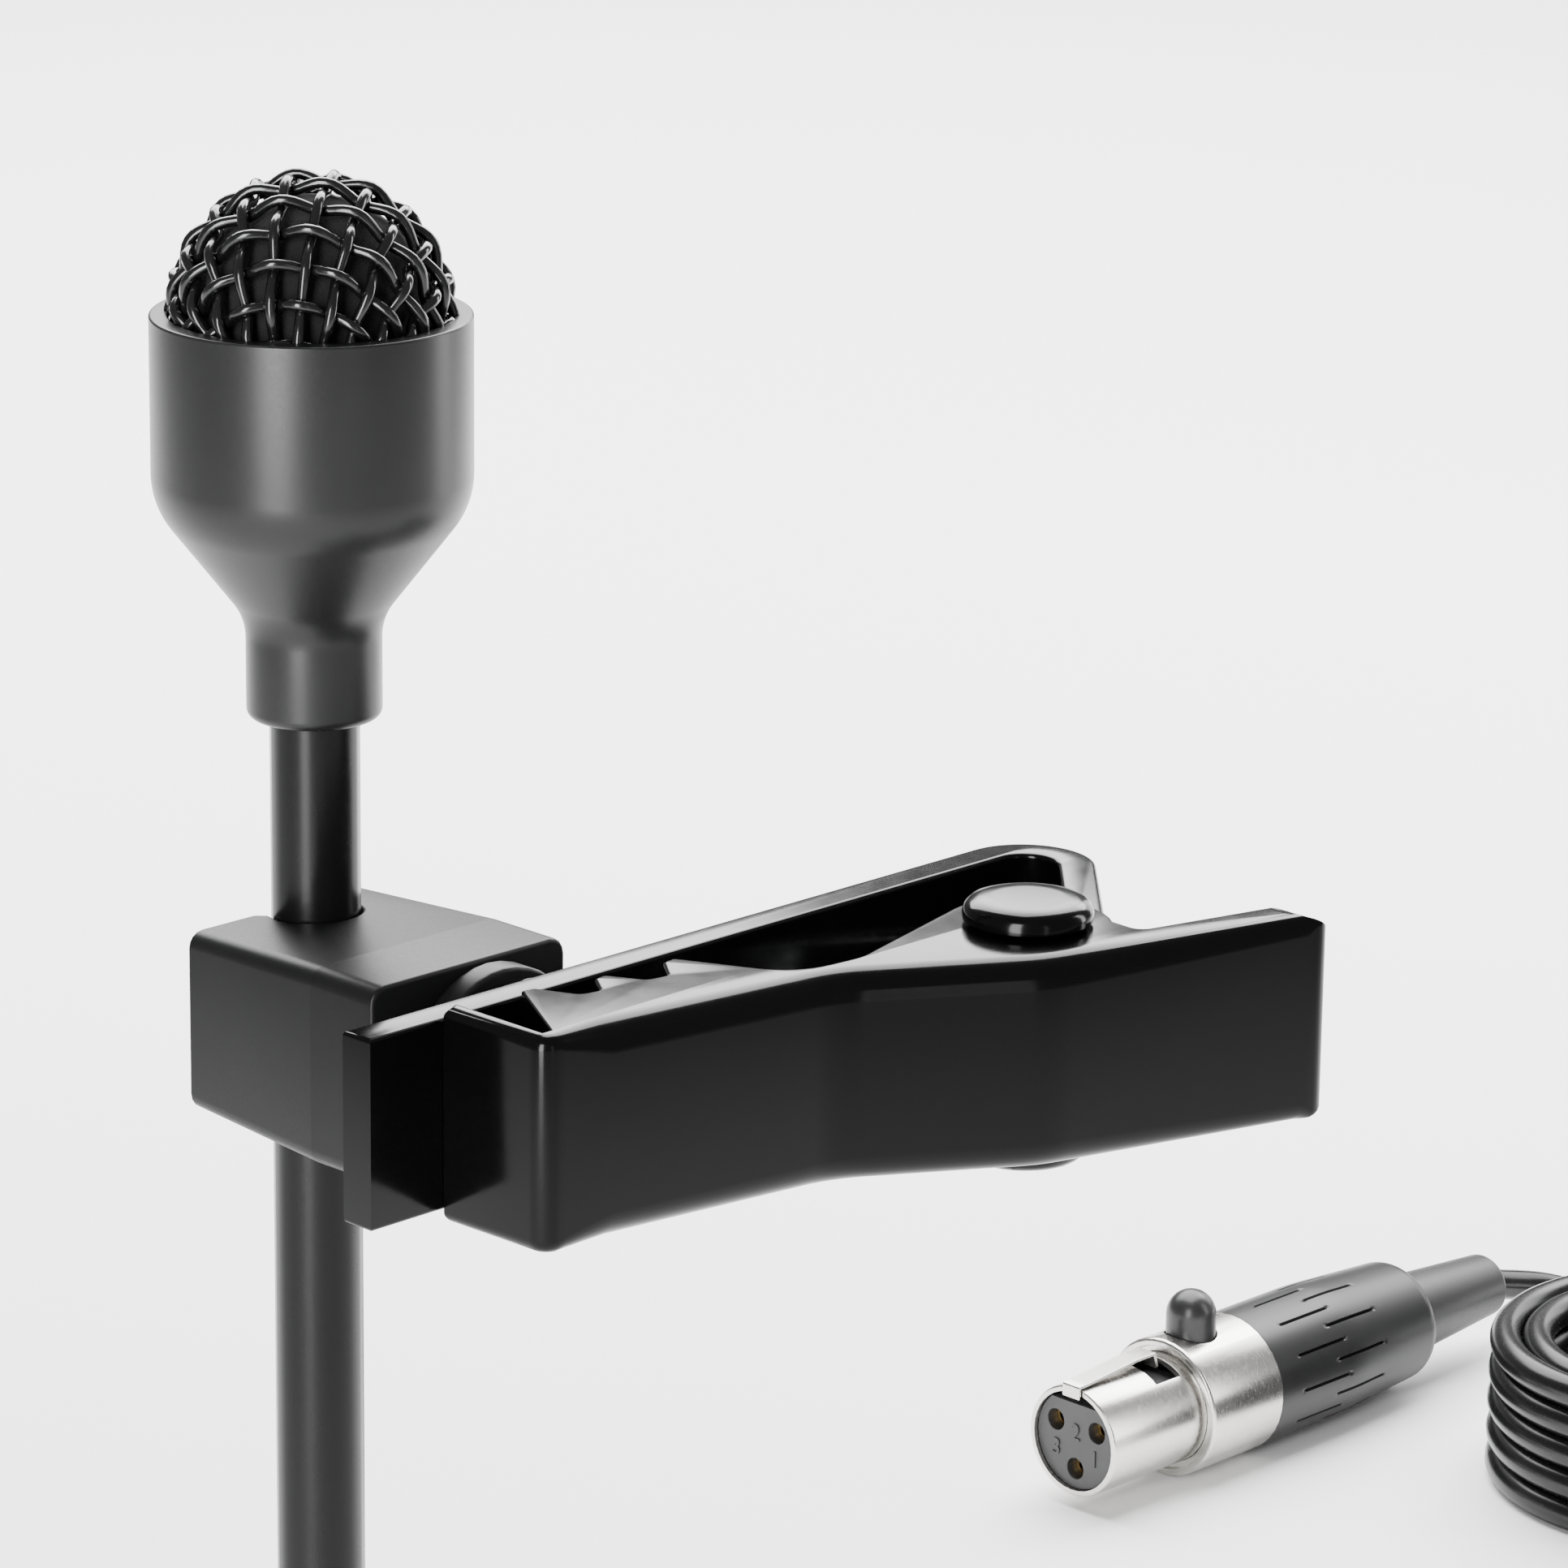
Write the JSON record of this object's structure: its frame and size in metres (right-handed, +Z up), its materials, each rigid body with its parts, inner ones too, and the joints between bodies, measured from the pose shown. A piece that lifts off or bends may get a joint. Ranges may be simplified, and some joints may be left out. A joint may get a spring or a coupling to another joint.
{
  "type": "lavalier microphone",
  "caption": "Clip-on lapel microphone: a small domed capsule on a thin cable, a swivelling spring clip that slides on it, and a mini locking plug on the coiled far end.",
  "frame": {"origin": "on the clip's back plate where it grips the cloth, in line with the cable, at half the clip's height", "axes": "+Z up along the cable to the capsule's dome, +X along the clip from the jaws' tip to the hinge and lever, +Y from the clip to the cable"},
  "size_m": [0.2789, 0.19, 0.1457],
  "materials": {
    "satin_black": "satin black coating on turned metal",
    "black_wire": "blackened fine wire",
    "felt": "black felt",
    "black_rubber": "soft black rubber",
    "aluminium": "drawn, plain",
    "steel": "bright drawn",
    "film": "metallised film",
    "copper": "plain copper alloy",
    "ivory_plastic": "plain",
    "laminate": "green board",
    "black_plastic": "fine matt black",
    "red_insulation": "plain",
    "white_insulation": "plain",
    "cable_jacket": "smooth black jacket",
    "gloss_black": "gloss black enamel",
    "nickel": "satin nickel plate",
    "gold": "gold plate"
  },
  "bodies": {
    "microphone": {"mic_housing": "satin_black", "plug_sleeve": "satin_black", "grille_dome": "black_wire", "grille_ring": "black_wire", "felt_disc": "felt", "capsule_gasket": "black_rubber", "strain_relief": "black_rubber", "capsule_can": "aluminium", "diaphragm_ring": "steel", "button_spring": "steel", "diaphragm": "film", "backplate": "copper", "crimp_ferrule": "copper", "backplate_holder": "ivory_plastic", "capsule_board": "laminate", "amplifier_chip": "black_plastic", "plug_insert": "black_plastic", "plug_carrier": "black_plastic", "cable_chuck": "black_plastic", "core_red": "red_insulation", "core_white": "white_insulation", "cable_end": "cable_jacket", "plug_cable_end": "cable_jacket", "cable_run": "cable_jacket", "cable_coil": "cable_jacket", "cable_lead": "cable_jacket", "plug_nose": "nickel", "plug_barrel": "nickel", "contact_1": "gold", "contact_2": "gold", "contact_3": "gold"},
    "holder": {"holder_block": "black_plastic", "swivel_disc": "black_plastic", "swivel_rivet": "steel"},
    "clip": {"back_arm": "gloss_black", "hinge_pin": "steel", "pin_cap_top": "gloss_black", "pin_cap_bottom": "gloss_black", "torsion_spring": "steel"},
    "jaw": {"front_arm": "gloss_black"},
    "button": {"release_button": "satin_black"},
    "latch": {"latch_spring": "nickel"}
  },
  "joints": [
    {"name": "clip_slide", "type": "slide", "parent": "microphone", "child": "holder", "axis": [0, 0, 1], "range_m": [-0.02, 0.0045]},
    {"name": "clip_swivel", "type": "hinge", "parent": "holder", "child": "clip", "pos_m": [0, 0, 0], "axis": [0, 1, 0], "continuous": true},
    {"name": "jaw_open", "type": "hinge", "parent": "clip", "child": "jaw", "pos_m": [0.01118, -0.00484, 0], "axis": [0, 0, 1], "range_deg": [0, 22], "stiffness_Nm_per_rad": 0.06, "springref_deg": -17.19, "deforming": ["torsion_spring"]},
    {"name": "button_press", "type": "slide", "parent": "microphone", "child": "button", "axis": [0, 0, -1], "range_m": [0, 0.0006], "stiffness_N_per_m": 600, "springref_m": -0.001, "deforming": ["button_spring"]},
    {"name": "latch_flex", "type": "hinge", "parent": "microphone", "child": "latch", "pos_m": [0.2152, 0.1757, -0.1156], "axis": [0, 1, 0], "range_deg": [0, 3.6]}
  ],
  "couplings": [
    {"joint": "latch_flex", "follows": "button_press", "rad_per_m": 100}
  ]
}
